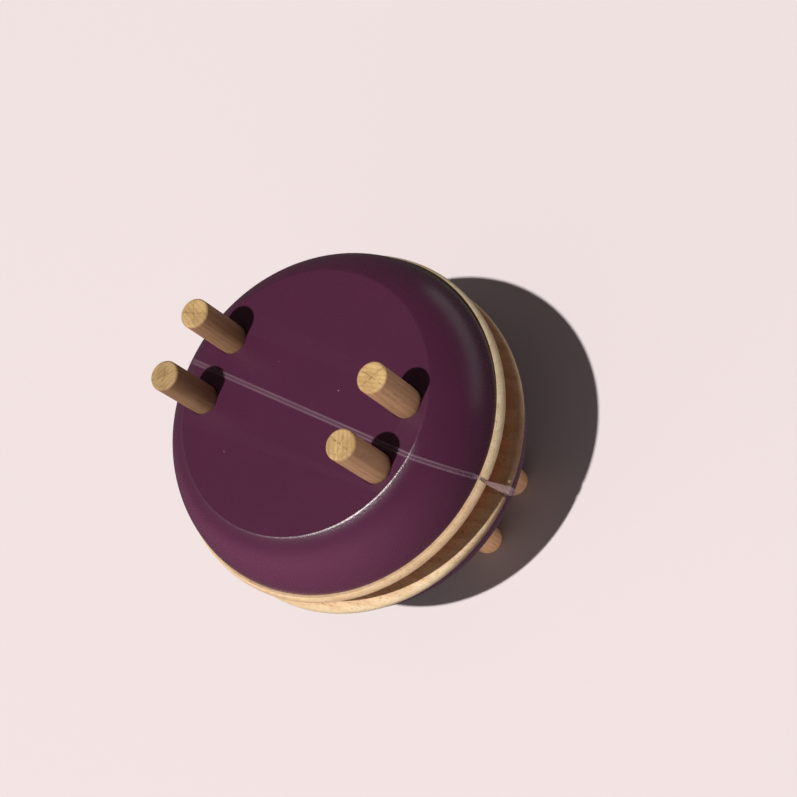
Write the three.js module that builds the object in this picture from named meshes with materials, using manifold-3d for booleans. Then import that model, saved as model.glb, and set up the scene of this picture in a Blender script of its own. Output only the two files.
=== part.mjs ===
// A hand toy of two turned wooden shells held rim to rim by a clear elastic loop.
//
// Each shell is a painted cap glued on a bare wooden rim plate, with four dowel pegs in its flat face.
// The rims leave a V-shaped groove between them. A hidden dowel, glued into the lower shell and free to
// slide in the upper one, keeps the shells in line when they are pulled apart against the elastic.
//
// Units are millimetres. +Z is the turning axis and points up, the part stands on its four lower pegs
// at z = 0, and X runs along the elastic, through the rim notches and between the pegs of each pair.

import * as THREE from "three";
import { mergeVertices } from "three/addons/utils/BufferGeometryUtils.js";
import Module from "manifold-3d";

const wasm = await Module();
wasm.setup();

// ---- Driving dimensions ----

// Overall sizes of one shell, measured from the plane in which the two shells meet.
const SHELL_HEIGHT = 25;
const RIM_RADIUS = 47;

// Rim plate: a disc whose edge is a bead, rounded wide towards the cap and tight towards the groove.
const RIM_CREST_HEIGHT = 6;
const RIM_BEAD_RADIUS = 3.2;
const GROOVE_EDGE_RADIUS = 1.3;
const BEAD_SHOULDER_ANGLE = THREE.MathUtils.degToRad(43.5); // where the bead ends and the cap begins
const GROOVE_DEPTH = 17; // from the rim's crest in to the ring where the two plates meet

// Painted cap: a flat face and one round flank.
const CAP_INSET = 0.5; // from the bead's shoulder in to the foot of the cap
const FLANK_RUN = 10.4; // from the foot of the cap in to the edge of its flat face
const FLANK_BULGE = 2.4; // rise of the flank's arc over its chord
const FACE_EDGE_RADIUS = 1.3;

// Pegs: four in each shell, as two close pairs with the elastic between the pegs of a pair.
const PEG_RADIUS = 4;
const PEG_STANDOUT = 18.3;
const PEG_DEPTH = 12; // how deep a peg is glued into its cap
const PEG_TIP_ROUND = 0.7;
const PEG_PAIR_GAP = 9.3;
const PEG_EDGE_MARGIN = 1.8; // from a peg's side to the edge of the flat face

// Locating dowel on the turning axis.
const DOWEL_RADIUS = 5;
const DOWEL_GLUED_LENGTH = 18; // in the lower shell
const DOWEL_FREE_LENGTH = 16; // in the upper shell
const DOWEL_CHAMFER = 0.8;

// Elastic loop. It leans to one side as it crosses a face: a little between the pegs at -X, and up
// close to one peg between those at +X.
const BAND_WIDTH = 1.4;
const BAND_THICKNESS = 0.5;
const BAND_DRIFT = 0.8; // sideways, at the pegs at -X

// Clearances.
const GLUE_GAP = 0.3; // between faces that meet
const HOLE_CLEARANCE = 0.2; // round a peg or the dowel
const BAND_CLEARANCE = 0.3; // under the elastic
const BAND_PEG_CLEARANCE = 1; // between the elastic and the peg that it leans towards at +X
const NOTCH_SIDE_CLEARANCE = 0.25; // on each side of the elastic in a rim notch
const NOTCH_FLOOR_CLEARANCE = 0.6; // between the elastic and the bottom of a notch

// A rim notch is tightest at the cap and opens towards the groove, by these angles from the axis.
const NOTCH_SIDE_ANGLE = THREE.MathUtils.degToRad(3);
const NOTCH_FLOOR_ANGLE = THREE.MathUtils.degToRad(15);

// Facets of the round parts.
const SHELL_SEGMENTS = 72;
const PEG_SEGMENTS = 24;
const FLANK_STEPS = 9;
const BEAD_STEPS = 7;
const GROOVE_EDGE_STEPS = 5;
const EDGE_STEPS = 3;
const TIP_STEPS = 3;
const NOTCH_STEPS = 8;
const FACE_STEPS = 8; // of the elastic across a face

// ---- Dimensions that follow from them ----

const beadCentre = new THREE.Vector2(RIM_RADIUS - RIM_BEAD_RADIUS, RIM_CREST_HEIGHT);
const plateTop = beadCentre.y + RIM_BEAD_RADIUS * Math.sin(BEAD_SHOULDER_ANGLE);
const shoulderRadius = beadCentre.x + RIM_BEAD_RADIUS * Math.cos(BEAD_SHOULDER_ANGLE);
const contactRadius = RIM_RADIUS - GROOVE_DEPTH;
const grooveEdgeCentre = new THREE.Vector2(RIM_RADIUS - GROOVE_EDGE_RADIUS, RIM_CREST_HEIGHT);

const capFoot = new THREE.Vector2(shoulderRadius - CAP_INSET, plateTop + GLUE_GAP);
const faceRadius = capFoot.x - FLANK_RUN;

const pegCircle = faceRadius - PEG_EDGE_MARGIN - PEG_RADIUS;
const pegY = PEG_PAIR_GAP / 2 + PEG_RADIUS;
const pegX = Math.sqrt(pegCircle ** 2 - pegY ** 2);

const standHeight = SHELL_HEIGHT + PEG_STANDOUT; // the meeting plane's height over the surface

// The flank's arc passes through the foot of the cap and the edge of the face, and a small arc
// rounds the corner between it and the flat face.
const flank = flankArc(capFoot, new THREE.Vector2(faceRadius, SHELL_HEIGHT), FLANK_BULGE);

// Centre, radius and end angles of the arc from foot to edge with a given rise over its chord, and
// the same for the rounding of the face's edge. Angles are those of the outward normal over the radius.
function flankArc(foot, edge, bulge) {
  const chord = edge.clone().sub(foot);
  const half = chord.length() / 2;
  const radius = (half ** 2 + bulge ** 2) / (2 * bulge);
  const outward = new THREE.Vector2(chord.y, -chord.x).normalize();
  const middle = foot.clone().add(edge).multiplyScalar(0.5);
  const centre = middle.addScaledVector(outward, bulge - radius);
  const footAngle = Math.atan2(foot.y - centre.y, foot.x - centre.x);
  const inner = radius - FACE_EDGE_RADIUS;
  const rise = SHELL_HEIGHT - FACE_EDGE_RADIUS - centre.y;
  const topAngle = Math.asin(rise / inner);
  const edgeCentre = new THREE.Vector2(centre.x + inner * Math.cos(topAngle), centre.y + rise);
  return { centre, radius, footAngle, topAngle, edgeCentre };
}

// ---- Geometry helpers ----

// Points of an arc from one angle to another, both included.
function arc(centre, radius, from, to, steps) {
  const points = [];
  for (let i = 0; i <= steps; i++) {
    const angle = from + ((to - from) * i) / steps;
    points.push(
      new THREE.Vector2(centre.x + radius * Math.cos(angle), centre.y + radius * Math.sin(angle)),
    );
  }
  return points;
}

// The cap's outside from its foot up to its flat face, moved out by an offset along its normal.
function capOutline(offset) {
  return [
    ...arc(flank.centre, flank.radius + offset, flank.footAngle, flank.topAngle, FLANK_STEPS),
    ...arc(
      flank.edgeCentre,
      FACE_EDGE_RADIUS + offset,
      flank.topAngle,
      Math.PI / 2,
      EDGE_STEPS,
    ).slice(1),
  ];
}

// A solid of revolution about Z from a profile of (radius, height) points that runs upwards.
function turned(profile, segments) {
  return solid(new THREE.LatheGeometry(profile, segments).rotateX(Math.PI / 2));
}

// A plain round rod or hole cutter between two heights, with its axis at (x, y).
function rod(radius, bottom, top, segments, x = 0, y = 0) {
  const geometry = new THREE.CylinderGeometry(radius, radius, top - bottom, segments);
  geometry.rotateX(Math.PI / 2).translate(x, y, (top + bottom) / 2);
  return solid(geometry);
}

// A closed three.js geometry as a manifold-3d solid.
function solid(geometry) {
  const bare = geometry.clone();
  bare.deleteAttribute("normal");
  bare.deleteAttribute("uv");
  const merged = mergeVertices(bare, 1e-4);
  return new wasm.Manifold(
    new wasm.Mesh({
      numProp: 3,
      vertProperties: merged.attributes.position.array,
      triVerts: new Uint32Array(merged.index.array),
    }),
  );
}

// A manifold-3d solid back as a three.js geometry.
function geometryOf(made) {
  const mesh = made.getMesh();
  const geometry = new THREE.BufferGeometry();
  geometry.setAttribute("position", new THREE.BufferAttribute(mesh.vertProperties, 3));
  geometry.setIndex(new THREE.BufferAttribute(mesh.triVerts, 1));
  geometry.computeVertexNormals();
  return geometry;
}

function named(name, made, material) {
  const mesh = new THREE.Mesh(geometryOf(made), material);
  mesh.name = name;
  return mesh;
}

// ---- Materials ----

const PAINT = { color: 0x5c3049, roughness: 0.38, metalness: 0 };
const BARE_WOOD = { color: 0xd8b98c, roughness: 0.6, metalness: 0 };
const PEG_WOOD = { color: 0xcbab78, roughness: 0.62, metalness: 0 };
const HIDDEN_WOOD = { color: 0xd9bd93, roughness: 0.7, metalness: 0 };
const CLEAR_ELASTIC = {
  color: 0xf2e6ea,
  roughness: 0.2,
  metalness: 0,
  transparent: true,
  opacity: 0.5,
};

// ---- The pieces, each with the meeting plane at z = 0 ----

// Where the four pegs of a shell stand.
function pegPlaces() {
  return [
    [-pegX, pegY],
    [-pegX, -pegY],
    [pegX, pegY],
    [pegX, -pegY],
  ];
}

// The hole that the dowel takes in an upper or a lower shell, up to a depth from the meeting plane.
function dowelHole(depth) {
  return rod(DOWEL_RADIUS + HOLE_CLEARANCE, -1, depth + GLUE_GAP, PEG_SEGMENTS);
}

// Painted cap: turned outside, flat underneath, with blind holes for the pegs and the dowel.
function cap(dowelDepth) {
  const profile = [
    new THREE.Vector2(0, capFoot.y),
    ...capOutline(0),
    new THREE.Vector2(0, SHELL_HEIGHT),
  ];
  let made = turned(profile, SHELL_SEGMENTS).subtract(dowelHole(dowelDepth));
  const holeBottom = SHELL_HEIGHT - PEG_DEPTH - GLUE_GAP;
  for (const [x, y] of pegPlaces()) {
    const radius = PEG_RADIUS + HOLE_CLEARANCE;
    made = made.subtract(rod(radius, holeBottom, SHELL_HEIGHT + 1, PEG_SEGMENTS, x, y));
  }
  return made;
}

// Bare rim plate: flat where it meets the cap and the other plate, coned in the groove, with a
// bead round it. Two notches in the bead take the elastic.
function rimPlate(dowelDepth) {
  const ring = new THREE.Vector2(contactRadius, GLUE_GAP / 2);
  const toEdge = grooveEdgeCentre.clone().sub(ring);
  const slope = toEdge.angle() - Math.asin(GROOVE_EDGE_RADIUS / toEdge.length());
  const profile = [
    new THREE.Vector2(0, ring.y),
    ring,
    ...arc(grooveEdgeCentre, GROOVE_EDGE_RADIUS, slope - Math.PI / 2, 0, GROOVE_EDGE_STEPS),
    ...arc(beadCentre, RIM_BEAD_RADIUS, 0, BEAD_SHOULDER_ANGLE, BEAD_STEPS).slice(1),
    new THREE.Vector2(0, plateTop),
  ];
  let made = turned(profile, SHELL_SEGMENTS).subtract(dowelHole(dowelDepth));
  for (const turn of [0, Math.PI]) {
    made = made.subtract(notchCutter(turn));
  }
  return made;
}

// A U-shaped slot with a round floor, cut through the bead at an angle about Z.
function notchCutter(turn) {
  const points = [-1, plateTop + 1].flatMap((z) =>
    notchOutline(plateTop - z).map((p) => [p.x, p.y, z]),
  );
  return wasm.Manifold.hull(points).rotate([0, 0, THREE.MathUtils.radToDeg(turn)]);
}

// The notch's outline at a distance below the top of the plate.
function notchOutline(drop) {
  const half = BAND_WIDTH / 2 + NOTCH_SIDE_CLEARANCE + drop * Math.tan(NOTCH_SIDE_ANGLE);
  const atCap = capFoot.x + BAND_CLEARANCE - NOTCH_FLOOR_CLEARANCE;
  const floor = atCap - drop * Math.tan(NOTCH_FLOOR_ANGLE);
  const mouth = RIM_RADIUS + half + 1;
  return [
    new THREE.Vector2(mouth, -half),
    new THREE.Vector2(mouth, half),
    ...arc(new THREE.Vector2(floor + half, 0), half, Math.PI / 2, 1.5 * Math.PI, NOTCH_STEPS),
  ];
}

// A peg, from its glued end up to its rounded tip.
function peg() {
  const bottom = SHELL_HEIGHT - PEG_DEPTH;
  const top = SHELL_HEIGHT + PEG_STANDOUT;
  const tipCentre = new THREE.Vector2(PEG_RADIUS - PEG_TIP_ROUND, top - PEG_TIP_ROUND);
  const profile = [
    new THREE.Vector2(0, bottom),
    new THREE.Vector2(PEG_RADIUS, bottom),
    ...arc(tipCentre, PEG_TIP_ROUND, 0, Math.PI / 2, TIP_STEPS),
    new THREE.Vector2(0, top),
  ];
  return turned(profile, PEG_SEGMENTS);
}

// The locating dowel, chamfered at both ends.
function dowel() {
  const profile = [
    new THREE.Vector2(0, -DOWEL_GLUED_LENGTH),
    new THREE.Vector2(DOWEL_RADIUS - DOWEL_CHAMFER, -DOWEL_GLUED_LENGTH),
    new THREE.Vector2(DOWEL_RADIUS, DOWEL_CHAMFER - DOWEL_GLUED_LENGTH),
    new THREE.Vector2(DOWEL_RADIUS, DOWEL_FREE_LENGTH - DOWEL_CHAMFER),
    new THREE.Vector2(DOWEL_RADIUS - DOWEL_CHAMFER, DOWEL_FREE_LENGTH),
    new THREE.Vector2(0, DOWEL_FREE_LENGTH),
  ];
  return turned(profile, PEG_SEGMENTS);
}

// The elastic: a flat loop pulled tight round both shells, through the notches.
function elasticLoop() {
  const outline = new THREE.Shape(loopPoints(BAND_CLEARANCE + BAND_THICKNESS));
  outline.holes.push(new THREE.Path(loopPoints(BAND_CLEARANCE)));
  const geometry = new THREE.ExtrudeGeometry(outline, {
    depth: BAND_WIDTH,
    bevelEnabled: false,
    steps: 1,
  });
  geometry.translate(0, 0, -BAND_WIDTH / 2).rotateX(Math.PI / 2);
  const at = geometry.attributes.position;
  for (let i = 0; i < at.count; i++) {
    at.setY(i, at.getY(i) + sway(at.getX(i), at.getZ(i)));
  }
  return solid(geometry);
}

// How far the elastic stands to the side at a point of its path. It runs straight across each face,
// comes back to the middle down the flanks, and turns over with the lower shell.
function sway(x, z) {
  const atRight = PEG_PAIR_GAP / 2 - BAND_WIDTH / 2 - BAND_PEG_CLEARANCE;
  const along = (THREE.MathUtils.clamp(x, -faceRadius, faceRadius) + pegX) / (2 * pegX);
  const drift = THREE.MathUtils.lerp(BAND_DRIFT, atRight, along);
  const height = THREE.MathUtils.clamp(Math.abs(z), capFoot.y, SHELL_HEIGHT) - capFoot.y;
  return (-Math.sign(z) * drift * height) / (SHELL_HEIGHT - capFoot.y);
}

// The loop's path: over one face, down the flanks and straight across the groove, and back.
function loopPoints(offset) {
  const quarter = capOutline(offset);
  quarter.unshift(new THREE.Vector2(capFoot.x + offset, capFoot.y));
  const right = [...quarter.map((p) => new THREE.Vector2(p.x, -p.y)).reverse(), ...quarter];
  const across = [];
  const edge = right[right.length - 1];
  for (let i = 1; i < FACE_STEPS; i++) {
    across.push(new THREE.Vector2(edge.x * (1 - (2 * i) / FACE_STEPS), edge.y));
  }
  const half = [...right, ...across];
  return [...half, ...half.map((p) => new THREE.Vector2(-p.x, -p.y))];
}

// ---- Assembly ----

const part = new THREE.Group();
part.name = "elastic_bound_peg_shells";

// One shell, built as the upper one. The lower one is the same shell turned over about X.
function shell(side, dowelDepth, flip) {
  const group = new THREE.Group();
  group.add(named(side + "_cap", cap(dowelDepth), new THREE.MeshStandardMaterial(PAINT)));
  group.add(
    named(side + "_rim_plate", rimPlate(dowelDepth), new THREE.MeshStandardMaterial(BARE_WOOD)),
  );
  pegPlaces().forEach(([x, y], i) => {
    const piece = named(
      side + "_peg_" + (i + 1),
      peg(),
      new THREE.MeshStandardMaterial(PEG_WOOD),
    );
    piece.position.set(x, y, 0);
    group.add(piece);
  });
  group.position.z = standHeight;
  group.rotation.x = flip ? Math.PI : 0;
  return group;
}

part.add(shell("lower", DOWEL_GLUED_LENGTH, true));
part.add(shell("upper", DOWEL_FREE_LENGTH, false));

const locatingDowel = named(
  "locating_dowel",
  dowel(),
  new THREE.MeshStandardMaterial(HIDDEN_WOOD),
);
locatingDowel.position.z = standHeight;
part.add(locatingDowel);

const band = named(
  "elastic_loop",
  elasticLoop(),
  new THREE.MeshStandardMaterial(CLEAR_ELASTIC),
);
band.position.z = standHeight;
part.add(band);

export default part;
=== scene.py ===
"""The looks of a wooden hand toy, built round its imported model.

Two turned shells, painted outside and bare at the rim, are held rim to rim by a clear elastic loop.
Lengths are in metres, in the model's own frame: +Z is the turning axis and X runs along the elastic.
Pieces of the upper shell are made with the meeting plane of the shells at z = 0 and lifted into
place, and those of the lower shell are the same pieces turned over about X.
"""

import math

import bmesh
import bpy
from mathutils import Matrix, Vector, noise


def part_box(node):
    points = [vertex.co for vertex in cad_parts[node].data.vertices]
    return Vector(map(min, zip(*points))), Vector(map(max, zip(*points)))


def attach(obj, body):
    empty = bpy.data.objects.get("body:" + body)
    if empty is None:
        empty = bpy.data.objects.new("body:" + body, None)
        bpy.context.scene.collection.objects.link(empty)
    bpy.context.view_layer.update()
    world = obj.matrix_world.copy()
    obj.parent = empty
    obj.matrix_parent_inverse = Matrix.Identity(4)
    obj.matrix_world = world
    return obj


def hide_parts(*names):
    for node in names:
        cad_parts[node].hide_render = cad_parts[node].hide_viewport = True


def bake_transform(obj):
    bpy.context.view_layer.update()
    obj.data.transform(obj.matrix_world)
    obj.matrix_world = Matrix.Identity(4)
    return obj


MM = 0.001

# ---- Shape, as in the CAD model ----

RIM_CREST_HEIGHT = 6 * MM
RIM_BEAD_RADIUS = 3.2 * MM
GROOVE_EDGE_RADIUS = 1.3 * MM  # of the rim, on its groove side
BEAD_SHOULDER_ANGLE = math.radians(43.5)
GROOVE_DEPTH = 17 * MM  # from the rim's crest in to the ring where the two plates meet
FLANK_RUN = 10.4 * MM
FLANK_BULGE = 2.4 * MM
FACE_EDGE_RADIUS = 1.3 * MM
PEG_TIP_ROUND = 0.7 * MM
DOWEL_CHAMFER = 0.8 * MM
BAND_DRIFT = 0.8 * MM  # sideways place of the elastic between the pegs at -X
BAND_PEG_CLEARANCE = 1 * MM
CAD_BAND_HALF_WIDTH = 0.7 * MM

# ---- Shape, finer than in the CAD model ----

HOLE_CLEARANCE = 0.12 * MM
HOLE_CHAMFER = 0.2 * MM
NOTCH_HALF_WIDTH = 0.45 * MM  # at the top of the rim plate
NOTCH_LEDGE = 0.4 * MM  # of its floor, outside the foot of the cap
NOTCH_SIDE_ANGLE = math.radians(2)  # it opens towards the groove
NOTCH_FLOOR_ANGLE = math.radians(12)
NOTCH_WALL_SLOPE = 14  # steepness of its walls where they meet the rim
NOTCH_ZONE = math.radians(4.2)  # angle to each side of a notch where the mesh is fine
BAND_LIFT = 0.6  # place of the elastic's middle, as a share of the CAD band's outside
BAND_LEAN_RUN = 0.8 * MM  # sideways distance over which the elastic climbs out of a notch
BAND_REST_GAP = 0.06 * MM  # under the elastic where it lies on a rim
PEG_WAVES_ACROSS = 260  # per metre, in a peg's uneven side
PEG_WAVES_ALONG = 90
PEG_WAVE_DEPTH = 0.045 * MM
PEG_SAW_DEPTH = 0.06 * MM  # of the unevenness of its tip

PEG_LOOKS = [  # the turn of each peg's grain and its tone
    (math.radians(15), 0.85),
    (math.radians(110), 0.64),
    (math.radians(58), 0.98),
    (math.radians(165), 0.86),
]
DOWEL_TONE = 1.0
UPPER_SEED = 0.31  # seeds shift the grain
LOWER_SEED = 1.07
PEG_SEED_STEP = 0.137
DOWEL_SEED = 2.2

# ---- Fineness ----

SHELL_STEPS = 180
NOTCH_STEPS = 44
CONE_STEPS = 24
FLANK_STEPS = 40
EDGE_STEPS = 18
BEAD_STEPS = 22
GROOVE_EDGE_STEPS = 14
PEG_STEPS = 64
PEG_SIDE_STEPS = 14
PEG_TIP_STEPS = 8
BAND_GROOVE_STEPS = 22
BAND_FACE_STEPS = 26
BAND_ACROSS_STEPS = 24
CREASE_ANGLE = math.radians(32)
FLAT_END_COSINE = 0.99995

# ---- Camera and light ----

CAMERA_AZIMUTH = math.radians(76.51)
CAMERA_ELEVATION = math.radians(56.84)
CAMERA_ROLL = math.radians(-53.89)
CAMERA_DISTANCE = 454.6 * MM
CAMERA_LENS = 78.7
CAMERA_SENSOR = 36
AIM_RIGHT = 13.18 * MM  # the camera looks past the object's centre, so that it sits off centre
AIM_UP = 8.56 * MM

SUN_AZIMUTH = math.radians(-0.5)
SUN_ELEVATION = math.radians(73.4)
SUN_STRENGTH = 4.6
SUN_COLOUR = (1.0, 0.97, 0.93)
SUN_WIDTH = math.radians(1.2)
SKY_COLOUR = (0.93, 0.80, 0.79)
SKY_STRENGTH = 0.10
GROUND_LIGHT = (1.0, 0.90, 0.89)  # thrown back by the floor
FILL = {
    "azimuth": math.radians(-8),
    "elevation": math.radians(14),
    "distance": 1.0,
    "size": (2.4, 0.7),
    "radiance": 0.9,
    "colour": GROUND_LIGHT,
}
GLOW = {
    "azimuth": math.radians(15),
    "elevation": math.radians(6),
    "distance": 1.0,
    "size": (4.0, 0.7),
    "radiance": 1.1,
    "colour": GROUND_LIGHT,
}
KICK = {
    "azimuth": math.radians(78),
    "elevation": math.radians(-1),
    "distance": 1.0,
    "size": (1.6, 0.3),
    "radiance": 5.0,
    "colour": GROUND_LIGHT,
}
SHEEN = {
    "azimuth": math.radians(155),
    "elevation": math.radians(-6),
    "distance": 0.17,
    "size": (0.20, 0.05),
    "radiance": 0.68,
    "colour": (0.85, 1.0, 0.90),
}
FLOOR_SIZE = 12.0

# ---- Colours, as linear red, green and blue. The shades multiply another colour ----

FLOOR_COLOUR = (0.562, 0.509, 0.526)
PAINT_DEEP = (0.047, 0.0095, 0.0280)
PAINT_LIGHT = (0.056, 0.0120, 0.0345)
PAINT_BOUNCE_LIT = (0.083, 0.0205, 0.050)
PAINT_DUST = (0.32, 0.24, 0.27)
HEART_DARK = (0.57, 0.405, 0.245)
HEART_PALE = (0.66, 0.485, 0.305)
SAP_DARK = (0.53, 0.45, 0.29)
SAP_PALE = (0.60, 0.52, 0.35)
RIM_LATE_WOOD = (0.46, 0.275, 0.125)
RIM_MOTTLE = (0.50, 0.33, 0.17)
RIM_FIBRE = (0.42, 0.26, 0.125)
RIM_FLECK = (0.24, 0.13, 0.06)
GROOVE_SHADE = (0.80, 0.52, 0.36)
GROOVE_SHADE_RED = (0.92, 0.48, 0.33)
GROOVE_SHADE_LATE = (0.60, 0.36, 0.22)
CREST_PAINTED_SHADOW = (0.50, 0.42, 0.40)
FOOT_CORNER_SHADE = (0.12, 0.055, 0.035)
PEG_DARK = (0.44, 0.245, 0.128)
PEG_PALE = (0.56, 0.335, 0.185)
PEG_LATE_WOOD = (0.33, 0.165, 0.078)
PEG_FIBRE = (0.29, 0.145, 0.068)
PEG_FLECK = (0.14, 0.065, 0.030)
PEG_END_PALE = (0.56, 0.385, 0.175)
PEG_END_DARK = (0.40, 0.255, 0.105)
PEG_END_LATE_WOOD = (0.36, 0.215, 0.085)
PEG_END_SHADE = (0.80, 0.76, 0.72)
PEG_SPLIT = (0.17, 0.09, 0.04)
ELASTIC_CLEAR = (0.66, 0.50, 0.60)
ELASTIC_MILKY = (0.78, 0.58, 0.56)


# ---- Materials ----


class Material:
    """A node material round one Principled shader, with a short call for each kind of node."""

    def __init__(self, name):
        self.made = bpy.data.materials.new(name)
        self.made.use_nodes = True
        self.tree = self.made.node_tree
        self.shader = self.tree.nodes["Principled BSDF"]

    def set(self, socket, value):
        """Links a node's output to a socket, or sets the socket to a plain value."""
        if isinstance(value, bpy.types.NodeSocket):
            self.tree.links.new(value, socket)
        else:
            socket.default_value = value

    def surface(self, **values):
        """Sets the shader's sockets, each by its name with _ for a space."""
        for name, value in values.items():
            self.set(self.shader.inputs[name.replace("_", " ")], value)

    def node(self, kind, inputs=None, **settings):
        made = self.tree.nodes.new("ShaderNode" + kind)
        for name, value in settings.items():
            setattr(made, name, value)
        for key, value in (inputs or {}).items():
            self.set(made.inputs[key], value)
        return made

    def place(self):
        """The point on the piece, in its own coordinates."""
        return self.node("TexCoord").outputs["Object"]

    def attribute(self, name):
        return self.node("Attribute", attribute_name=name).outputs["Fac"]

    def math(self, operation, a, b=0.0, c=0.0):
        return self.node("Math", {0: a, 1: b, 2: c}, operation=operation).outputs[0]

    def vector(self, operation, a, b):
        return self.node("VectorMath", {0: a, 1: b}, operation=operation).outputs[0]

    def parts(self, vector):
        return self.node("SeparateXYZ", {0: vector}).outputs

    def sized(self, vector, x, y, z):
        """Coordinates in which a feature of that size along each axis is one unit."""
        return self.vector("MULTIPLY", vector, (1 / x, 1 / y, 1 / z))

    def moved(self, vector, amount):
        """The vector shifted by a changing amount along all three axes."""
        shift = self.node("CombineXYZ", {0: amount, 1: amount, 2: amount}).outputs[0]
        return self.vector("ADD", vector, shift)

    def noise(self, vector, detail=2.0, roughness=0.5):
        inputs = {"Vector": vector, "Scale": 1.0, "Detail": detail, "Roughness": roughness}
        return self.node("TexNoise", inputs).outputs["Fac"]

    def step(self, value, low, high):
        """0 below low, 1 above high and smooth between them."""
        inputs = {"Value": value, "From Min": low, "From Max": high}
        return self.node("MapRange", inputs, interpolation_type="SMOOTHSTEP").outputs["Result"]

    def between(self, value, low, high):
        """The value, which runs from 0 to 1, spread from low to high."""
        inputs = {"Value": value, "To Min": low, "To Max": high}
        return self.node("MapRange", inputs).outputs["Result"]

    def mix(self, factor, a, b, blend="MIX"):
        def colour(value):
            return value if isinstance(value, bpy.types.NodeSocket) else (*value, 1.0)

        inputs = {0: factor, 6: colour(a), 7: colour(b)}
        return self.node("Mix", inputs, data_type="RGBA", blend_type=blend).outputs[2]

    def bump(self, height, distance):
        inputs = {"Height": height, "Distance": distance, "Strength": 1.0}
        return self.node("Bump", inputs).outputs["Normal"]


def cap_paint(rim_radius, edge_radius, face_height):
    """Satin paint with an orange-peel tooth and a little dust.

    Its flank is painted lighter on the -Y side. This is painted light, standing in for the light
    that the sunlit ground throws back.
    On that side it is also rubbed rougher just outside the flat face, where the rounded edge begins.
    """
    m = Material("cap_paint")
    local = m.place()
    at = m.parts(local)
    place = m.moved(local, m.attribute("seed"))
    clouds = m.noise(m.sized(place, 14 * MM, 14 * MM, 14 * MM), detail=3)
    peel = m.noise(m.sized(place, 0.42 * MM, 0.42 * MM, 0.42 * MM), detail=3, roughness=0.6)
    colour = m.mix(clouds, PAINT_DEEP, PAINT_LIGHT)
    # Painted light: the flank on the -Y side is made lighter, as if lit by the sunlit ground
    side = m.step(at[1], 0.15 * rim_radius, -0.85 * rim_radius)
    flank = m.step(at[2], face_height - 0.2 * MM, face_height - 5 * MM)
    bounce_lit = m.math("MULTIPLY", side, flank)
    colour = m.mix(bounce_lit, colour, PAINT_BOUNCE_LIT)
    specks = m.node("TexVoronoi", {"Vector": place, "Scale": 1 / (9 * MM)}).outputs
    chosen = m.math("GREATER_THAN", m.parts(specks["Color"])[0], 0.72)
    near = m.math("LESS_THAN", specks["Distance"], 0.016)
    colour = m.mix(m.math("MULTIPLY", chosen, near), colour, PAINT_DUST)
    flat = m.vector("MULTIPLY", local, (1.0, 1.0, 0.0))
    radius = m.node("VectorMath", {0: flat}, operation="LENGTH").outputs["Value"]
    rubbed = m.step(radius, edge_radius - 0.1 * MM, edge_radius + 0.3 * MM)
    rubbed = m.math("MULTIPLY", rubbed, m.step(radius, edge_radius + 3 * MM, edge_radius))
    rubbed = m.math("MULTIPLY", rubbed, m.step(at[1], 3 * MM, -3 * MM))
    tooth = m.math("MULTIPLY", peel, m.between(rubbed, 0.4, 2.0))
    m.surface(
        Base_Color=colour,
        Roughness=m.math("ADD", m.between(peel, 0.23, 0.31), m.between(rubbed, 0.0, 0.07)),
        Specular_IOR_Level=m.between(rubbed, 0.36, 1.0),
        Normal=m.bump(tooth, 0.045 * MM),
        IOR=1.5,
    )
    return m.made


def rings(m, place, spacing, heart, waviness):
    """Growth rings about a line along X through the heart, as 0 to 1 across each ring."""
    across = m.vector("MULTIPLY", m.vector("SUBTRACT", place, heart), (0.0, 1.0, 1.0))
    radius = m.node("VectorMath", {0: across}, operation="LENGTH").outputs["Value"]
    drift = m.noise(m.sized(place, 40 * MM, 9 * MM, 9 * MM), detail=2)
    radius = m.math("MULTIPLY_ADD", drift, waviness, radius)
    return m.math("FRACT", m.math("DIVIDE", radius, spacing))


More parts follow.
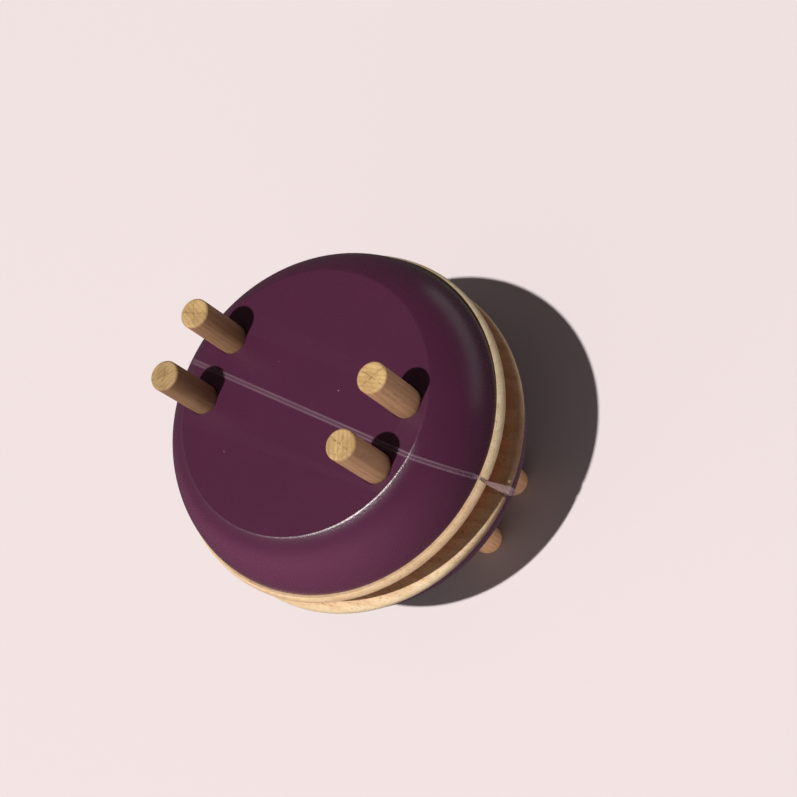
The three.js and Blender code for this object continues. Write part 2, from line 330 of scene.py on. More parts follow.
def rim_wood(rim_radius, plate_top):
    """Bare wood with its grain along X, paler on its sapwood side, and painted darker and redder in
    the groove as painted shade.

    Where the mesh's mark for it is 1, on the lower plate, its crest is painted darker near both ends
    along X: a painted shadow cast by the upper rim.
    """
    m = Material("rim_wood")
    local = m.place()
    at = m.parts(local)
    place = m.moved(local, m.attribute("seed"))
    ring = rings(m, place, 3.4 * MM, (0.0, 14 * MM, -46 * MM), 9 * MM)
    late = m.math("MULTIPLY", m.step(ring, 0.30, 0.92), m.step(ring, 1.0, 0.94))
    fibre = m.noise(m.sized(place, 5 * MM, 0.34 * MM, 0.34 * MM), detail=4, roughness=0.65)
    fleck = m.noise(m.sized(place, 1.6 * MM, 0.30 * MM, 0.30 * MM), detail=1)
    mottle = m.noise(m.sized(place, 1.5 * MM, 1.1 * MM, 1.1 * MM), detail=3, roughness=0.6)
    clouds = m.noise(m.sized(place, 22 * MM, 9 * MM, 9 * MM), detail=2)

    heart = m.mix(clouds, HEART_DARK, HEART_PALE)
    sap = m.mix(clouds, SAP_DARK, SAP_PALE)
    colour = m.mix(m.step(at[1], -12 * MM, 16 * MM), heart, sap)
    colour = m.mix(m.math("MULTIPLY", late, 0.32), colour, RIM_LATE_WOOD)
    colour = m.mix(m.math("MULTIPLY", m.step(mottle, 0.42, 0.66), 0.28), colour, RIM_MOTTLE)
    colour = m.mix(m.math("MULTIPLY", m.step(fibre, 0.50, 0.74), 0.50), colour, RIM_FIBRE)
    flecks = m.step(fleck, 0.61, 0.70)
    colour = m.mix(m.math("MULTIPLY", flecks, 0.60), colour, RIM_FLECK)

    # Painted shade: the groove side of the rim is darkened and reddened
    groove = m.step(at[2], RIM_CREST_HEIGHT - 0.4 * MM, RIM_CREST_HEIGHT - 3.2 * MM)
    red = m.noise(m.sized(place, 12 * MM, 5 * MM, 5 * MM), detail=2)
    groove_painted_shade = m.mix(m.step(red, 0.4, 0.6), GROOVE_SHADE, GROOVE_SHADE_RED)
    groove_painted_shade = m.mix(m.math("MULTIPLY", late, 0.6), groove_painted_shade, GROOVE_SHADE_LATE)
    colour = m.mix(groove, colour, groove_painted_shade, blend="MULTIPLY")
    # Painted shadow of the upper rim on the lower plate's crest, near both ends along X
    out = m.step(m.math("ABSOLUTE", at[0]), 0.78 * rim_radius, 0.96 * rim_radius)
    out = m.math("MULTIPLY", out, m.step(at[2], RIM_CREST_HEIGHT - 2 * MM, RIM_CREST_HEIGHT))
    end = m.math("MULTIPLY", out, m.attribute("crest_shadow_mark"))
    colour = m.mix(end, colour, CREST_PAINTED_SHADOW, blend="MULTIPLY")
    # Painted shade: a dark band along the top of the plate, in the corner under the cap's foot
    foot_corner_shade = m.step(at[2], plate_top - 0.10 * MM, plate_top - 0.03 * MM)
    colour = m.mix(m.math("MULTIPLY", foot_corner_shade, 0.4), colour, FOOT_CORNER_SHADE)
    height = m.math("SUBTRACT", m.math("MULTIPLY", fibre, 0.5), flecks)
    m.surface(
        Base_Color=colour,
        Roughness=m.between(fibre, 0.50, 0.70),
        Specular_IOR_Level=0.35,
        Normal=m.bump(height, 0.025 * MM),
        IOR=1.45,
    )
    return m.made


def peg_wood(tip_height):
    """Dowel wood with its grain along Z, and end grain with fine splits at the tip."""
    m = Material("peg_wood")
    local = m.place()
    place = m.moved(local, m.attribute("seed"))
    x, y, z = m.parts(place)
    laid_down = m.node("CombineXYZ", {0: z, 1: x, 2: y}).outputs[0]
    ring = rings(m, laid_down, 1.15 * MM, (0.0, 7 * MM, 5 * MM), 1.6 * MM)
    late = m.math("MULTIPLY", m.step(ring, 0.3, 0.9), m.step(ring, 1.0, 0.92))
    fibre = m.noise(m.sized(place, 0.28 * MM, 0.28 * MM, 5 * MM), detail=4, roughness=0.62)
    fleck = m.noise(m.sized(place, 0.24 * MM, 0.24 * MM, 2.2 * MM), detail=1)
    clouds = m.noise(m.sized(place, 4 * MM, 4 * MM, 14 * MM), detail=2)
    side = m.mix(clouds, PEG_DARK, PEG_PALE)
    side = m.mix(m.math("MULTIPLY", late, 0.40), side, PEG_LATE_WOOD)
    side = m.mix(m.math("MULTIPLY", m.step(fibre, 0.5, 0.75), 0.55), side, PEG_FIBRE)
    side = m.mix(m.math("MULTIPLY", m.step(fleck, 0.64, 0.74), 0.6), side, PEG_FLECK)

    at = m.parts(local)
    end = m.step(at[2], tip_height - 0.60 * MM, tip_height - 0.15 * MM)
    pores = m.noise(m.sized(place, 0.2 * MM, 0.2 * MM, 3 * MM), detail=3, roughness=0.7)
    wander = m.noise(m.sized(place, 1.5 * MM, 1.5 * MM, 9 * MM), detail=4, roughness=0.6)
    wander = m.math("MULTIPLY", m.math("SUBTRACT", wander, 0.5), 1.7 * MM)
    split_a = split(m, at, wander, 0.0, 0.09 * MM)
    split_b = split(m, at, wander, math.radians(71), 0.06 * MM)
    broken = m.noise(m.sized(place, 1.1 * MM, 1.1 * MM, 9 * MM), detail=2)
    splits = m.math("MULTIPLY", m.math("MAXIMUM", split_a, split_b), end)
    splits = m.math("MULTIPLY", splits, m.step(broken, 0.36, 0.56))
    grain = m.mix(m.step(pores, 0.35, 0.7), PEG_END_PALE, PEG_END_DARK)
    grain = m.mix(m.math("MULTIPLY", late, 0.5), grain, PEG_END_LATE_WOOD)
    grain = m.mix(m.step(clouds, 0.38, 0.62), grain, PEG_END_SHADE, blend="MULTIPLY")
    colour = m.mix(end, side, grain)
    colour = m.mix(m.math("MULTIPLY", splits, 0.60), colour, PEG_SPLIT)
    tone = m.attribute("tone")
    shade = m.node("CombineXYZ", {0: tone, 1: tone, 2: tone}).outputs[0]
    colour = m.mix(1.0, colour, shade, blend="MULTIPLY")
    height = m.math("SUBTRACT", m.math("MULTIPLY", fibre, 0.35), splits)
    m.surface(
        Base_Color=colour,
        Roughness=m.between(fibre, 0.50, 0.70),
        Specular_IOR_Level=0.35,
        Normal=m.bump(height, 0.05 * MM),
        IOR=1.45,
    )
    return m.made


def split(m, at, wander, angle, width):
    """1 along a slightly crooked line across the peg's axis at that angle, and 0 off it."""
    along_x = m.math("MULTIPLY", at[0], math.sin(angle))
    distance = m.math("MULTIPLY_ADD", at[1], math.cos(angle), along_x)
    distance = m.math("ABSOLUTE", m.math("ADD", distance, wander))
    return m.step(distance, 2 * width, 0.6 * width)


def clear_elastic():
    """Clear stretch plastic, milky where it is bunched, with two fine ridges along it: real ridges
    in the mesh, drawn more opaque and so lighter as a painted highlight.
    """
    m = Material("clear_elastic")
    along = m.attribute("along")
    across = m.attribute("across")
    flat = m.node("CombineXYZ", {0: along, 1: across, 2: 0.0}).outputs[0]
    streaks = m.noise(m.sized(flat, 14 * MM, 0.30 * MM, MM), detail=3, roughness=0.6)
    ripples = m.noise(m.sized(flat, 7 * MM, 0.6 * MM, MM), detail=3)
    ridge = m.attribute("ridge")
    milk = m.attribute("milk")
    # The ridges get more cover and show lighter: a painted highlight on the real ridges
    ridge = m.math("MULTIPLY", ridge, m.between(ripples, 0.35, 1.65))
    cover = m.math("MULTIPLY_ADD", ridge, 0.068, 0.024)
    cover = m.math("MULTIPLY_ADD", milk, 0.40, cover)
    cover = m.math("MULTIPLY", cover, m.between(streaks, 0.45, 1.55))
    colour = m.mix(milk, ELASTIC_CLEAR, ELASTIC_MILKY)
    m.surface(
        Base_Color=colour,
        Roughness=m.between(streaks, 0.18, 0.34),
        Alpha=cover,
        Normal=m.bump(streaks, 0.008 * MM),
        IOR=1.5,
    )
    return m.made


def floor_paper():
    """Plain pale paper with a fine tooth."""
    m = Material("floor_paper")
    tooth = m.noise(m.sized(m.place(), 0.6 * MM, 0.6 * MM, 0.6 * MM), detail=2)
    m.surface(
        Base_Color=(*FLOOR_COLOUR, 1.0),
        Roughness=0.85,
        Specular_IOR_Level=0.2,
        Normal=m.bump(tooth, 0.01 * MM),
    )
    return m.made


# ---- Mesh helpers ----


def arc(centre, radius, start, end, steps):
    """Points of an arc from one angle to another, both included, as (radius, height) pairs."""
    angles = [start + (end - start) * i / steps for i in range(steps + 1)]
    return [(centre[0] + radius * math.cos(a), centre[1] + radius * math.sin(a)) for a in angles]


def even_angles(steps):
    """Angles of a whole turn, evenly spaced."""
    return [2 * math.pi * i / steps for i in range(steps)]


def turned(profile, angles):
    """A closed mesh turned about Z from a profile that runs upwards, with flat ends."""
    mesh = bmesh.new()
    loops = []
    for radius, height in profile:
        loop = [
            mesh.verts.new((radius * math.cos(a), radius * math.sin(a), height)) for a in angles
        ]
        loops.append(loop)
    count = len(angles)
    for low, high in zip(loops, loops[1:]):
        for i in range(count):
            j = (i + 1) % count
            mesh.faces.new((low[i], low[j], high[j], high[i]))
    mesh.faces.new(reversed(loops[0]))
    mesh.faces.new(loops[-1])
    return mesh


def new_piece(name, mesh, material, seed=0.0):
    """A Blender object of a finished bmesh. The seed shifts its grain, so that no two are alike."""
    data = bpy.data.meshes.new(name)
    mesh.to_mesh(data)
    mesh.free()
    if material is not None:
        data.materials.append(material)
    piece = bpy.data.objects.new(name, data)
    bpy.context.scene.collection.objects.link(piece)
    mark_whole(piece, "seed", seed)
    return piece


def mark(piece, name, values):
    """Gives each vertex its value of a mark that the materials read."""
    attribute = piece.data.attributes.new(name, "FLOAT", "POINT")
    attribute.data.foreach_set("value", values)


def mark_whole(piece, name, value):
    """Gives every vertex the same value of a mark."""
    mark(piece, name, [value] * len(piece.data.vertices))


def drill(piece, cutters):
    """Cuts every cutter out of the piece and removes the cutters."""
    for cutter in cutters:
        hole = piece.modifiers.new("hole", "BOOLEAN")
        hole.operation = "DIFFERENCE"
        hole.solver = "EXACT"
        hole.object = cutter
    depsgraph = bpy.context.evaluated_depsgraph_get()
    finished = bpy.data.meshes.new_from_object(piece.evaluated_get(depsgraph))
    piece.modifiers.clear()
    piece.data = finished
    for cutter in cutters:
        bpy.data.objects.remove(cutter)


def smooth(piece):
    """Smooth shading with hard creases, and ends that are flat up to their edges."""
    piece.data.shade_smooth()
    for face in piece.data.polygons:
        if abs(face.normal.z) > FLAT_END_COSINE:
            face.use_smooth = False
    piece.data.set_sharp_from_angle(angle=CREASE_ANGLE)
    weighted = piece.modifiers.new("weighted_normals", "WEIGHTED_NORMAL")
    weighted.keep_sharp = True


def hole_cutter(radius, bottom, top, place=(0.0, 0.0)):
    """A drill with a small countersink at the surface it goes in by, which is at top."""
    profile = [
        (radius, bottom),
        (radius, top - HOLE_CHAMFER),
        (radius + 2 * HOLE_CHAMFER, top + HOLE_CHAMFER),
    ]
    cutter = new_piece("cutter", turned(profile, even_angles(PEG_STEPS)), None)
    cutter.location = (*place, 0.0)
    return cutter


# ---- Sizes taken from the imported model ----


class Sizes:
    """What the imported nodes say, with heights measured from the shells' meeting plane."""

    def __init__(self):
        cap_low, cap_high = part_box("upper_cap")
        plate_low, plate_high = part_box("upper_rim_plate")
        dowel_low, dowel_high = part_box("locating_dowel")
        band_low, band_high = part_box("elastic_loop")
        self.meeting = (plate_low.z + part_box("lower_rim_plate")[1].z) / 2
        self.plate_bottom = plate_low.z - self.meeting
        self.plate_top = plate_high.z - self.meeting
        self.rim_radius = plate_high.y
        self.cap_foot = (cap_high.y, cap_low.z - self.meeting)
        self.shell_height = cap_high.z - self.meeting
        self.face_radius = self.cap_foot[0] - FLANK_RUN
        self.band_outside = band_high.z - self.meeting - self.shell_height
        self.pegs = [self.peg(f"upper_peg_{i}") for i in range(1, 5)]
        self.dowel_radius = (dowel_high.x - dowel_low.x) / 2
        self.dowel_ends = (dowel_low.z - self.meeting, dowel_high.z - self.meeting)
        self.bead_centre = (self.rim_radius - RIM_BEAD_RADIUS, RIM_CREST_HEIGHT)
        self.groove_edge_centre = (self.rim_radius - GROOVE_EDGE_RADIUS, RIM_CREST_HEIGHT)

    def peg(self, node):
        """Where a peg stands, its radius and the heights of its ends."""
        low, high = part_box(node)
        middle = (low + high) / 2
        return {
            "place": (middle.x, middle.y),
            "radius": (high.x - low.x) / 2,
            "bottom": low.z - self.meeting,
            "top": high.z - self.meeting,
        }


def cap_arcs(sizes):
    """The flank's arc through the cap's foot and the edge of its face, and the arc that rounds
    that edge: a centre, a radius, a start and an end angle for each."""
    foot = Vector(sizes.cap_foot)
    edge = Vector((sizes.face_radius, sizes.shell_height))
    chord = edge - foot
    half = chord.length / 2
    radius = (half**2 + FLANK_BULGE**2) / (2 * FLANK_BULGE)
    outward = Vector((chord.y, -chord.x)).normalized()
    centre = (foot + edge) / 2 + outward * (FLANK_BULGE - radius)
    start = math.atan2(foot.y - centre.y, foot.x - centre.x)
    inner = radius - FACE_EDGE_RADIUS
    rise = sizes.shell_height - FACE_EDGE_RADIUS - centre.y
    corner = math.asin(rise / inner)
    edge_centre = (centre.x + inner * math.cos(corner), centre.y + rise)
    flank = (tuple(centre), radius, start, corner)
    rounding = (edge_centre, FACE_EDGE_RADIUS, corner, math.pi / 2)
    return flank, rounding


def cap_outline(sizes, offset):
    """The cap's outside from its foot to its flat face, moved out by an offset."""
    (centre, radius, start, end), (edge_centre, edge_radius, edge_start, edge_end) = cap_arcs(sizes)
    outline = arc(centre, radius + offset, start, end, FLANK_STEPS)
    return outline + arc(edge_centre, edge_radius + offset, edge_start, edge_end, EDGE_STEPS)[1:]


# ---- Pieces ----


def painted_cap(name, sizes, material, dowel_depth, seed):
    """A cap with its flat face, round flank and drilled holes."""
    mesh = turned(cap_outline(sizes, 0.0), even_angles(SHELL_STEPS))
    piece = new_piece(name, mesh, material, seed)
    cutters = []
    for peg in sizes.pegs:
        radius = peg["radius"] + HOLE_CLEARANCE
        bottom = peg["bottom"] - HOLE_CLEARANCE
        cutters.append(hole_cutter(radius, bottom, sizes.shell_height, peg["place"]))
    cutters.append(dowel_cutter(sizes, dowel_depth))
    drill(piece, cutters)
    smooth(piece)
    return piece


def dowel_cutter(sizes, depth):
    """A drill for the centre dowel, from the meeting plane to just past a depth."""
    radius = sizes.dowel_radius + HOLE_CLEARANCE
    ends = [(radius, -1 * MM), (radius, depth + HOLE_CLEARANCE)]
    return new_piece("cutter", turned(ends, even_angles(PEG_STEPS)), None)


def rim_angles():
    """Angles about Z that are close together in the two notches and even elsewhere."""
    near = [NOTCH_ZONE * (2 * i / NOTCH_STEPS - 1) for i in range(NOTCH_STEPS)]
    steps = SHELL_STEPS // 2
    far = [NOTCH_ZONE + (math.pi - 2 * NOTCH_ZONE) * i / steps for i in range(steps)]
    half = near + far
    return half + [angle + math.pi for angle in half]


def notch_reach(sizes, sideways, height):
    """The largest radius that a notch leaves at a distance from its middle and a height."""
    drop = sizes.plate_top - height
    half_width = NOTCH_HALF_WIDTH + drop * math.tan(NOTCH_SIDE_ANGLE)
    floor = sizes.cap_foot[0] + NOTCH_LEDGE - drop * math.tan(NOTCH_FLOOR_ANGLE)
    across = min(sideways / half_width, 1.0)
    rounded = half_width * (1 - math.sqrt(1 - across**2))
    wall = max(sideways - half_width, 0.0) * NOTCH_WALL_SLOPE
    return floor + rounded + wall


def rim_reach(sizes, height):
    """The radius of the rim's outside at a height over or under its crest, or 0 off the bead."""
    above = height - RIM_CREST_HEIGHT
    if above > sizes.plate_top - RIM_CREST_HEIGHT or above < -GROOVE_EDGE_RADIUS:
        return 0.0
    radius = RIM_BEAD_RADIUS if above > 0 else GROOVE_EDGE_RADIUS
    return sizes.rim_radius - radius + math.sqrt(radius**2 - above**2)


def rim_plate(name, sizes, material, dowel_depth, seed):
    """A bare plate with a beaded edge, coned underneath, with two notches for the elastic."""
    ring = Vector((sizes.rim_radius - GROOVE_DEPTH, sizes.plate_bottom))
    to_edge = Vector(sizes.groove_edge_centre) - ring
    slope = math.atan2(to_edge.y, to_edge.x) - math.asin(GROOVE_EDGE_RADIUS / to_edge.length)
    start = slope - math.pi / 2
    edge = arc(sizes.groove_edge_centre, GROOVE_EDGE_RADIUS, start, 0.0, GROOVE_EDGE_STEPS)
    bead = arc(sizes.bead_centre, RIM_BEAD_RADIUS, 0.0, BEAD_SHOULDER_ANGLE, BEAD_STEPS)
    first = Vector(edge[0])
    cone = [tuple(ring.lerp(first, i / CONE_STEPS)) for i in range(CONE_STEPS)]
    mesh = turned(cone + edge + bead[1:], rim_angles())
    for vertex in mesh.verts:
        radius = math.hypot(vertex.co.x, vertex.co.y)
        limit = notch_reach(sizes, abs(vertex.co.y), vertex.co.z)
        if radius > limit:
            vertex.co.x *= limit / radius
            vertex.co.y *= limit / radius
    piece = new_piece(name, mesh, material, seed)
    drill(piece, [dowel_cutter(sizes, dowel_depth)])
    smooth(piece)
    return piece


def peg(name, size, material, seed, look):
    """A cut length of dowel, not quite true, with a rounded tip.

    Its look is the turn of its grain about Z and its tone.
    """
    turn, tone = look
    radius = size["radius"]
    bottom = size["bottom"]
    top = size["top"]
    tip_centre = (radius - PEG_TIP_ROUND, top - PEG_TIP_ROUND)
    rise = tip_centre[1] - bottom
    side = [(radius, bottom + rise * i / PEG_SIDE_STEPS) for i in range(PEG_SIDE_STEPS)]
    tip = arc(tip_centre, PEG_TIP_ROUND, 0.0, math.pi / 2, PEG_TIP_STEPS)
    flat = [(tip_centre[0] * share, top) for share in (0.75, 0.5, 0.25)]
    mesh = turned(side + tip + flat, even_angles(PEG_STEPS))
    for vertex in mesh.verts:
        x, y, z = vertex.co
        along = z * PEG_WAVES_ALONG + seed * 999
        wave = noise.noise(Vector((x * PEG_WAVES_ACROSS, y * PEG_WAVES_ACROSS, along)))
        shrink = 1 - (0.5 - 0.5 * wave) * PEG_WAVE_DEPTH / radius
        vertex.co.x *= shrink
        vertex.co.y *= shrink
        if z > top - 0.01 * MM:
            vertex.co.z -= (0.5 + 0.5 * wave) * PEG_SAW_DEPTH
    piece = new_piece(name, mesh, material, seed)
    mark_whole(piece, "tone", tone)
    piece.location = (*size["place"], 0.0)
    piece.rotation_euler.z = turn
    smooth(piece)
    return piece


def centre_dowel(name, sizes, material, seed):
    """The hidden dowel on the turning axis, chamfered at both ends."""
    bottom, top = sizes.dowel_ends
    radius = sizes.dowel_radius
    inner = radius - DOWEL_CHAMFER
    profile = [
        (inner, bottom),
        (radius, bottom + DOWEL_CHAMFER),
        (radius, top - DOWEL_CHAMFER),
        (inner, top),
    ]
    bevelled = turned(profile, even_angles(PEG_STEPS))
    piece = new_piece(name, bevelled, material, seed)
    mark_whole(piece, "tone", DOWEL_TONE)
    smooth(piece)
    return piece


# ---- The elastic ----


def band_sway(sizes, x, z):
    """How far the elastic stands to the side at a point of its path, as in the CAD model."""
    pegs = sizes.pegs
    peg_x = pegs[2]["place"][0]
    inner_side = pegs[2]["place"][1] - pegs[2]["radius"]
    at_right = inner_side - CAD_BAND_HALF_WIDTH - BAND_PEG_CLEARANCE
    along = (min(max(x, -sizes.face_radius), sizes.face_radius) + peg_x) / (2 * peg_x)
    drift = BAND_DRIFT + (at_right - BAND_DRIFT) * along
    foot = sizes.cap_foot[1]
    height = min(max(abs(z), foot), sizes.shell_height) - foot
    share = height / (sizes.shell_height - foot)
    return -math.copysign(drift * share, z)


def band_route(sizes, offset):
    """The elastic's closed path in the XZ plane, with the outward direction at each point."""
    outline = cap_outline(sizes, offset)
    foot_x, foot_z = outline[0]
    groove = [(foot_x, foot_z * i / BAND_GROOVE_STEPS) for i in range(BAND_GROOVE_STEPS)]
    edge_x, edge_z = outline[-1]
    inward = range(1, BAND_FACE_STEPS + 1)
    face = [(edge_x * (1 - i / BAND_FACE_STEPS), edge_z) for i in inward]
    right = groove + outline + face[:-1]
    upper = right + [face[-1]] + [(-x, z) for x, z in reversed(right[1:])]
    lower = [(-x, -z) for x, z in upper]
    return upper + lower


def band_width(sizes, x, z):
    """Sideways shift, half width, half thickness, milkiness and lean of the elastic on its path.

    It is pulled narrow in the upper notches. Across the groove it fans out to one side, milky,
    leans outward over the lower rim beside the notch, and narrows again on the lower cap.
    """
    foot = sizes.cap_foot[1]
    crest = RIM_CREST_HEIGHT
    flank = foot + 3 * MM
    plain = (0.0, 0.78 * MM, 0.15 * MM, 0.0, 0.0)
    keys = (  # a height, then what this returns
        (-sizes.shell_height, *plain),
        (-flank, 1.5 * MM, 0.95 * MM, 0.15 * MM, 0.15, 0.10 * MM),
        (-foot, 1.6 * MM, 1.05 * MM, 0.14 * MM, 0.45, 0.60 * MM),
        (-crest, 1.4 * MM, 1.15 * MM, 0.13 * MM, 0.85, 1.05 * MM),
        (-crest * 0.25, 0.75 * MM, 0.85 * MM, 0.14 * MM, 1.0, 0.55 * MM),
        (crest * 0.6, 0.10 * MM, 0.52 * MM, 0.18 * MM, 0.95, 0.0),
        (foot, -0.05 * MM, 0.40 * MM, 0.20 * MM, 0.55, 0.0),
        (flank, *plain),
    )
    if abs(x) < sizes.face_radius:
        return plain
    side = math.copysign(1.0, x)
    for (z0, *low), (z1, *high) in zip(keys, keys[1:]):
        if z0 <= z <= z1:
            share = (z - z0) / (z1 - z0)
            shift, *rest = [a + (b - a) * share for a, b in zip(low, high)]
            return side * shift, *rest
    return plain


def band_section(half_width, half_thickness):
    """A flat section with a ridge near each edge, as (sideways, outward, ridge) points."""
    ridge_place = 0.58
    ridge_width = 0.16
    top = []
    for i in range(BAND_ACROSS_STEPS + 1):
        u = -math.cos(math.pi * i / BAND_ACROSS_STEPS)
        rounded = math.sqrt(max(1 - abs(u) ** 6, 0.0))
        ridge = math.exp(-(((abs(u) - ridge_place) / ridge_width) ** 2))
        thickness = half_thickness * (0.55 + 0.45 * ridge) * rounded
        top.append((u * half_width, thickness, ridge))
    bottom = [(u, -t, r) for u, t, r in reversed(top[1:-1])]
    return top + bottom


def clear_of_rim(sizes, point, out):
    """The point of the elastic, moved outward where it would be inside the rim's wood."""
    height = abs(point.z)
    rim = rim_reach(sizes, height)
    if rim == 0.0:
        return point
    surface = min(rim, notch_reach(sizes, abs(point.y), height))
    radius = math.hypot(point.x, point.y)
    wanted = surface + BAND_REST_GAP + max(out, 0.0)
    if radius < wanted:
        point.x *= wanted / radius
        point.y *= wanted / radius
    return point


def elastic_band(name, sizes, material):
    """The elastic as one closed ribbon round both shells, its ridges painted brighter towards +X as
    a painted glint.
    """
    route = band_route(sizes, sizes.band_outside * BAND_LIFT)
    mesh = bmesh.new()
    loops = []
    marks = {"along": [], "across": [], "ridge": [], "milk": []}
    travelled = 0.0
    for i, (x, z) in enumerate(route):
        before = Vector(route[i - 1])
        after = Vector(route[(i + 1) % len(route)])
        along = (after - before).normalized()
        outward = Vector((along.y, 0.0, -along.x))
        shift, half_width, half_thickness, milk, lean = band_width(sizes, x, z)
        middle = Vector((x, band_sway(sizes, x, z) + shift, z))
        # Painted glint: the ridges' cover, and so their lightness, grows towards +X
        painted_glint = 0.45 + 0.75 * (0.5 + 0.5 * x / sizes.rim_radius)
        loop = []
        for sideways, out, ridge in band_section(half_width, half_thickness):
            point = middle + Vector((0.0, sideways, 0.0)) + outward * out
            beside = (point.y * math.copysign(1.0, x) - NOTCH_HALF_WIDTH) / BAND_LEAN_RUN
            point.x += math.copysign(lean * min(max(beside + 0.5, 0.0), 1.0), x)
            loop.append(mesh.verts.new(clear_of_rim(sizes, point, out)))
            marks["along"].append(travelled)
            marks["across"].append(sideways)
            marks["ridge"].append(ridge * painted_glint)
            marks["milk"].append(milk)
        loops.append(loop)
        travelled += (after - Vector((x, z))).length
    join_round(mesh, loops)
    bmesh.ops.recalc_face_normals(mesh, faces=mesh.faces)
    piece = new_piece(name, mesh, material)
    for mark_name, values in marks.items():
        mark(piece, mark_name, values)
    piece.data.shade_smooth()
    return piece


def join_round(mesh, loops):
    """Faces between each closed loop and the next, and between the last and the first."""
    size = len(loops[0])
    for i, here in enumerate(loops):
        there = loops[(i + 1) % len(loops)]
        for j in range(size):
            k = (j + 1) % size
            mesh.faces.new((here[j], here[k], there[k], there[j]))


# ---- Assembly ----


def put(piece, sizes, body, node, flipped=False):
    """Moves a piece into the model's frame, ties it to its body and hides the CAD node that it
    replaces.
    """
    lift = Matrix.Translation((0.0, 0.0, sizes.meeting))
    turn = Matrix.Rotation(math.pi if flipped else 0.0, 4, "X")
    piece.matrix_world = lift @ turn @ piece.matrix_basis
    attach(piece, body)
    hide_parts(node)


def build_shell(sizes, side, dowel_depth, materials, first_seed):
    """Makes one shell's cap, rim plate and pegs, and returns the cap and the pegs."""
    body = side + "_shell"
    flipped = side == "lower"
    cap = painted_cap(side + "_painted_cap", sizes, materials["paint"], dowel_depth, first_seed)
    put(cap, sizes, body, side + "_cap", flipped)
    plate = rim_plate(side + "_wooden_rim", sizes, materials["rim"], dowel_depth, first_seed)
    # Only the lower plate gets the painted shadow of the upper rim on its crest
    mark_whole(plate, "crest_shadow_mark", float(flipped))
    put(plate, sizes, body, side + "_rim_plate", flipped)
    pegs = []
    for i, size in enumerate(sizes.pegs, start=1):
        seed = first_seed + PEG_SEED_STEP * i
        look = PEG_LOOKS[i - 1]
        made = peg(f"{side}_dowel_peg_{i}", size, materials["peg"], seed, look)
        put(made, sizes, body, f"{side}_peg_{i}", flipped)
        pegs.append(made)
    return cap, pegs


def build_object(sizes):
    """Makes every piece and returns the upper cap, and the lower cap with its pegs in a list."""
    _, (rounding_centre, *_) = cap_arcs(sizes)
    materials = {
        "paint": cap_paint(sizes.rim_radius, rounding_centre[0], sizes.shell_height),
        "rim": rim_wood(sizes.rim_radius, sizes.plate_top),
        "peg": peg_wood(sizes.pegs[0]["top"]),
    }
    dowel_bottom, dowel_top = sizes.dowel_ends
    upper_cap, _ = build_shell(sizes, "upper", dowel_top, materials, UPPER_SEED)
    lower_cap, lower_pegs = build_shell(sizes, "lower", -dowel_bottom, materials, LOWER_SEED)
    dowel = centre_dowel("centre_dowel", sizes, materials["peg"], DOWEL_SEED)
    put(dowel, sizes, "lower_shell", "locating_dowel")

    band = elastic_band("clear_elastic_band", sizes, clear_elastic())
    band.location.z = sizes.meeting
    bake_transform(band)
    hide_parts("elastic_loop")
    return upper_cap, [lower_cap, *lower_pegs]


def make_floor():
    """A wide sheet of paper under the object."""
    mesh = bmesh.new()
    bmesh.ops.create_grid(mesh, x_segments=8, y_segments=8, size=FLOOR_SIZE / 2)
    floor = new_piece("floor", mesh, floor_paper())
    floor.visible_glossy = False  # so that the satin paint doesn't mirror it


def direction(azimuth, elevation):
    """The unit vector towards a viewer or lamp. Azimuth 0 is on the -Y side and 90 on +X."""
    level = math.cos(elevation)
    return Vector((math.sin(azimuth) * level, -math.cos(azimuth) * level, math.sin(elevation)))


def make_camera(centre):
    """The camera at the photo's angle to the object."""
    back = direction(CAMERA_AZIMUTH, CAMERA_ELEVATION)
    level_right = Vector((math.cos(CAMERA_AZIMUTH), math.sin(CAMERA_AZIMUTH), 0.0))
    level_up = back.cross(level_right)
    right = level_right * math.cos(CAMERA_ROLL) + level_up * math.sin(CAMERA_ROLL)
    up = back.cross(right)
    data = bpy.data.cameras.new("camera")
    data.lens = CAMERA_LENS
    data.sensor_width = CAMERA_SENSOR
    camera = bpy.data.objects.new("camera", data)
    bpy.context.scene.collection.objects.link(camera)
    place = centre + right * AIM_RIGHT + up * AIM_UP + back * CAMERA_DISTANCE
    axes = Matrix((right, up, back)).transposed().to_4x4()
    camera.matrix_world = Matrix.Translation(place) @ axes
    bpy.context.scene.camera = camera


def make_sun():
    """Sharp sunlight from high on the -Y side."""
    data = bpy.data.lights.new("sun", "SUN")
    data.energy = SUN_STRENGTH
    data.color = SUN_COLOUR
    data.angle = SUN_WIDTH
    sun = bpy.data.objects.new("sun", data)
    sun.rotation_mode = "QUATERNION"
    sun.rotation_quaternion = direction(SUN_AZIMUTH, SUN_ELEVATION).to_track_quat("Z", "Y")
    bpy.context.scene.collection.objects.link(sun)


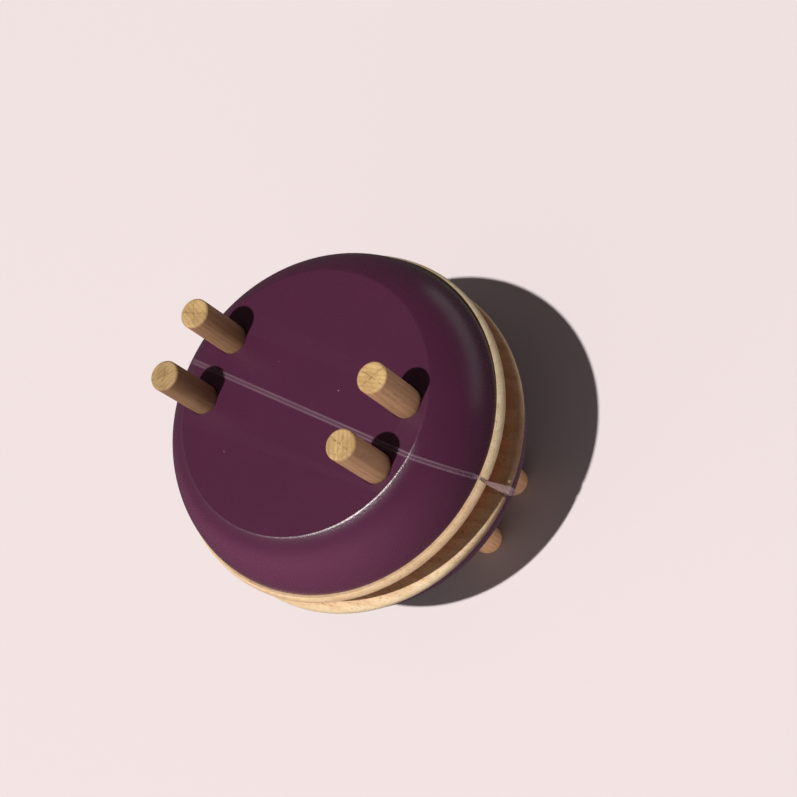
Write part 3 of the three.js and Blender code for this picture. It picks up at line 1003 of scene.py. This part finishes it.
def make_soft_lamp(name, look, aim):
    """A wide, soft lamp that faces the aim. Its look says where it stands and how it shines."""
    towards = direction(look["azimuth"], look["elevation"]) * look["distance"]
    width, height = look["size"]
    data = bpy.data.lights.new(name, "AREA")
    data.shape = "RECTANGLE"
    data.size = width
    data.size_y = height
    data.color = look["colour"]
    data.energy = look["radiance"] * math.pi * width * height
    lamp = bpy.data.objects.new(name, data)
    lamp.location = aim + towards
    lamp.rotation_mode = "QUATERNION"
    lamp.rotation_quaternion = towards.to_track_quat("Z", "Y")
    lamp.visible_camera = False
    bpy.context.scene.collection.objects.link(lamp)
    return lamp


def make_sky():
    """A dim, even sky."""
    world = bpy.data.worlds.new("world")
    world.use_nodes = True
    background = world.node_tree.nodes["Background"]
    background.inputs["Color"].default_value = (*SKY_COLOUR, 1.0)
    background.inputs["Strength"].default_value = SKY_STRENGTH
    bpy.context.scene.world = world


def light_only(lamp, pieces):
    """Makes a lamp light some of the pieces and nothing else."""
    lit = bpy.data.collections.new(lamp.name + "_lit")
    for piece in pieces:
        lit.objects.link(piece)
    lamp.light_linking.receiver_collection = lit


def make_lights(centre, upper_cap, underside):
    """The sun, the sky and a soft fill, then three lamps for the light that the sunlit ground
    throws back: a glow on the paint, a kick on the underside and a sheen on the far right."""
    make_sun()
    make_sky()
    fill = make_soft_lamp("fill", FILL, centre)
    glow = make_soft_lamp("glow", GLOW, centre)
    kick = make_soft_lamp("kick", KICK, centre)
    sheen = make_soft_lamp("sheen", SHEEN, centre)
    for lamp in (fill, glow, kick):
        lamp.visible_glossy = False
    sheen.visible_diffuse = False
    light_only(glow, [upper_cap, *underside])
    light_only(kick, underside)
    light_only(sheen, [upper_cap])


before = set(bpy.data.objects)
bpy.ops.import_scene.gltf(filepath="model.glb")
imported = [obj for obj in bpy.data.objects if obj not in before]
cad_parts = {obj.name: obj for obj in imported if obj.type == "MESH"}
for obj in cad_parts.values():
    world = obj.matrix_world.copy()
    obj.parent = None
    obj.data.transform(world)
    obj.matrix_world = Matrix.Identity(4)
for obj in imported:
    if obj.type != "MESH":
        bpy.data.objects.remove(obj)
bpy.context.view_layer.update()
sizes = Sizes()
centre = Vector((0.0, 0.0, sizes.meeting))
make_camera(centre)
make_floor()
upper_cap, underside = build_object(sizes)
make_lights(centre, upper_cap, underside)
bpy.context.scene.view_settings.view_transform = "Standard"
